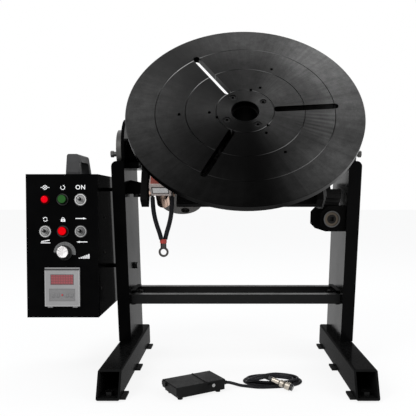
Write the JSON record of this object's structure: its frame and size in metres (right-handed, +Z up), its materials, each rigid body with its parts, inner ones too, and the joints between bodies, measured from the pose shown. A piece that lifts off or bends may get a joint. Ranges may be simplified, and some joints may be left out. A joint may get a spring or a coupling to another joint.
{
  "type": "welding positioner",
  "caption": "Floor-standing welding positioner: a round slotted faceplate that turns on a tilting cradle between two columns, with a side control box and a foot switch.",
  "frame": {"origin": "on the floor, midway between the four foot ends", "axes": "+X to the right seen from the front, +Y to the back, +Z up; the cradle rests tilted 51 degrees about the X axis from level, face towards -Y"},
  "size_m": [0.727, 0.4827, 0.7496],
  "materials": {
    "black_powder": "satin black powder coat",
    "cradle_black": "satin black paint",
    "table_steel": "turned and blackened steel",
    "bright_steel": "turned bright steel",
    "bolt_steel": "zinc plated",
    "bronze": "turned bronze",
    "gear_steel": "hobbed steel",
    "gearbox_iron": "painted casting",
    "motor_alloy": "cast aluminium",
    "brush_plastic": "moulded insulator",
    "copper": "bright copper",
    "rubber_black": "black rubber",
    "cable_black": "sleeved cable",
    "lug_metal": "tinned copper",
    "lamp_red": "glossy lens",
    "button_green": "glossy plastic",
    "button_red": "glossy plastic",
    "bezel_black": "black plastic",
    "switch_chrome": "plated",
    "scale_grey": "brushed plate",
    "knob_black": "black plastic",
    "meter_grey": "moulded plastic",
    "window_red": "tinted window",
    "keys_grey": "membrane",
    "handle_grey": "moulded plastic",
    "socket_metal": "plated",
    "pedal_grey": "satin black paint",
    "plug_metal": "nickel plated"
  },
  "bodies": {
    "stand": {"left_foot": "black_powder", "right_foot": "black_powder", "rubber_feet": "rubber_black", "left_column": "black_powder", "right_column": "black_powder", "crossbars": "black_powder", "crossbar_plates": "black_powder", "trunnion_ears": "black_powder", "bearing_blocks": "black_powder", "trunnion_hubs": "bright_steel", "stand_bearings": "bronze", "stop_bracket": "black_powder", "worm_trough": "black_powder", "worm_ring": "bright_steel", "frame_bolts": "bolt_steel", "box_shell": "black_powder", "box_panel": "black_powder", "box_brackets": "black_powder", "box_handle": "handle_grey", "panel_screws": "bolt_steel", "pilot_lamp": "lamp_red", "button_bezels": "bezel_black", "toggle_bushes": "switch_chrome", "speed_scale": "scale_grey", "meter_case": "meter_grey", "meter_window": "window_red", "meter_keys": "keys_grey", "box_sockets": "socket_metal", "pedal_base": "pedal_grey", "pedal_pin": "bright_steel", "pedal_cord": "cable_black", "pedal_coil": "cable_black", "connector_body": "plug_metal"},
    "cradle": {"cradle_base": "cradle_black", "cradle_cheeks": "cradle_black", "trunnion_shafts": "bright_steel", "tilt_sector": "gear_steel", "spindle_housing": "cradle_black", "spindle_bearings": "bright_steel", "spin_gearbox": "gearbox_iron", "spin_motor": "motor_alloy", "brush_block": "brush_plastic", "brush_rod": "copper", "brush_terminals": "copper"},
    "table": {"faceplate": "table_steel", "spindle": "bright_steel", "faceplate_screws": "bolt_steel", "ring_gear": "gear_steel"},
    "pinion": {"spin_pinion": "gear_steel"},
    "worm": {"tilt_worm": "gear_steel"},
    "leads": {"left_lead": "cable_black", "right_lead": "cable_black", "cable_lug": "lug_metal"},
    "green_key": {"green_button": "button_green"},
    "red_key": {"red_button": "button_red"},
    "power_lever": {"power_toggle": "switch_chrome"},
    "mode_lever": {"mode_toggle": "switch_chrome"},
    "direction_lever": {"direction_toggle": "switch_chrome"},
    "knob": {"speed_knob": "knob_black"},
    "treadle": {"pedal_treadle": "pedal_grey"}
  },
  "joints": [
    {"name": "tilt", "type": "hinge", "parent": "stand", "child": "cradle", "pos_m": [0, 0.122, 0.477], "axis": [1, 0, 0], "range_deg": [-51, 39]},
    {"name": "spin", "type": "hinge", "parent": "cradle", "child": "table", "pos_m": [0.01735, 0.03527, 0.54723], "axis": [0, -0.7771, 0.6293], "continuous": true},
    {"name": "pinion_spin", "type": "hinge", "parent": "cradle", "child": "pinion", "pos_m": [-0.06265, 0.08982, 0.58027], "axis": [0, -0.7771, 0.6293], "continuous": true},
    {"name": "worm_turn", "type": "hinge", "parent": "stand", "child": "worm", "pos_m": [0.212, 0.122, 0.333], "axis": [0, 1, 0], "range_deg": [-2500, 3270]},
    {"name": "lead_swing", "type": "hinge", "parent": "cradle", "child": "leads", "pos_m": [-0.16, 0.01965, 0.38874], "axis": [1, 0, 0], "range_deg": [-24, 31]},
    {"name": "green_press", "type": "slide", "parent": "stand", "child": "green_key", "axis": [0, 0.9813, -0.1925], "range_m": [0, 0.003], "stiffness_N_per_m": 300, "springref_m": -0.002},
    {"name": "red_press", "type": "slide", "parent": "stand", "child": "red_key", "axis": [0, 0.9813, -0.1925], "range_m": [0, 0.003], "stiffness_N_per_m": 300, "springref_m": -0.002},
    {"name": "power_flip", "type": "hinge", "parent": "stand", "child": "power_lever", "pos_m": [-0.326, -0.02166, 0.37568], "axis": [1, 0, 0], "range_deg": [-12, 12]},
    {"name": "mode_flip", "type": "hinge", "parent": "stand", "child": "mode_lever", "pos_m": [-0.4, -0.03437, 0.31091], "axis": [1, 0, 0], "range_deg": [-12, 12]},
    {"name": "direction_flip", "type": "hinge", "parent": "stand", "child": "direction_lever", "pos_m": [-0.326, -0.03437, 0.31091], "axis": [1, 0, 0], "range_deg": [-12, 12]},
    {"name": "knob_turn", "type": "hinge", "parent": "stand", "child": "knob", "pos_m": [-0.36, -0.03901, 0.26648], "axis": [0, -0.9813, 0.1925], "range_deg": [-45, 225]},
    {"name": "treadle_press", "type": "hinge", "parent": "stand", "child": "treadle", "pos_m": [-0.06291, -0.13537, 0.018], "axis": [0.515, -0.8572, 0], "range_deg": [0, 3], "stiffness_Nm_per_rad": 8, "springref_deg": -2.86}
  ],
  "couplings": [
    {"joint": "worm_turn", "follows": "tilt", "ratio": -64},
    {"joint": "lead_swing", "follows": "tilt", "ratio": -0.6},
    {"joint": "pinion_spin", "follows": "spin", "ratio": -4}
  ]
}
